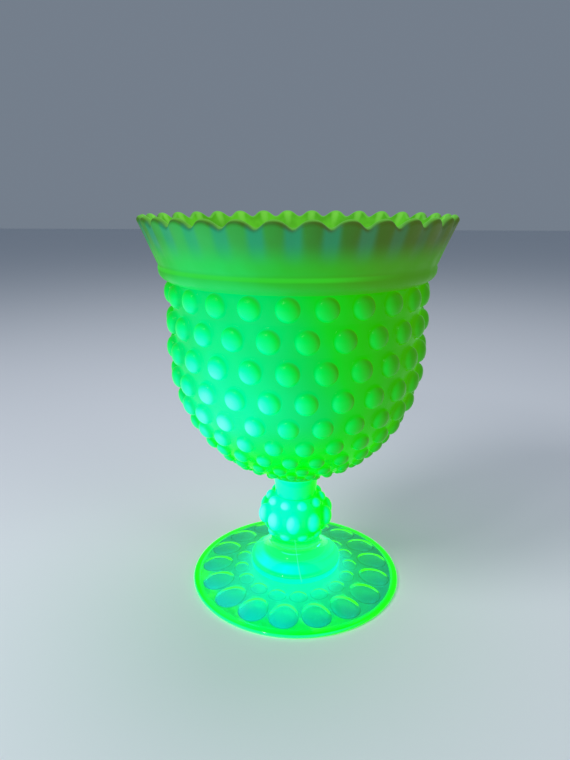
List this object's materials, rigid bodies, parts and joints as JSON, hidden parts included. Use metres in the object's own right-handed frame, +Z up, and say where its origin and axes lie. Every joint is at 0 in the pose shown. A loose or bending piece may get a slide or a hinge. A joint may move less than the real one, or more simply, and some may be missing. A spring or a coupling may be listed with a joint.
{
  "type": "footed glass dish",
  "caption": "Pressed glass footed dish: hobnail bowl with a fluted scalloped lip, knopped stem and round clear foot; holds fruit, sweets or flowers.",
  "frame": {"origin": "centre of the circle that the foot stands on", "axes": "+Z up the axis of the dish, from the foot to the mouth; -Y through a hob of the bowl's top row"},
  "size_m": [0.1232, 0.1232, 0.16],
  "materials": {
    "clear_glass": "clear green uranium glass, glossy, glows under ultraviolet light",
    "stem_glass": "milky green-turquoise glass, glossy, glows under ultraviolet light",
    "opal_glass": "opalescent green glass, glossy, glows under ultraviolet light",
    "rim_glass": "opalescent grey-green glass, glossy, duller glow than the bowl"
  },
  "bodies": {
    "root": {"foot": "clear_glass", "stem_base": "clear_glass", "hobnail_knop": "stem_glass", "bowl_neck": "stem_glass", "bowl": "opal_glass", "flared_rim": "rim_glass"}
  },
  "joints": []
}
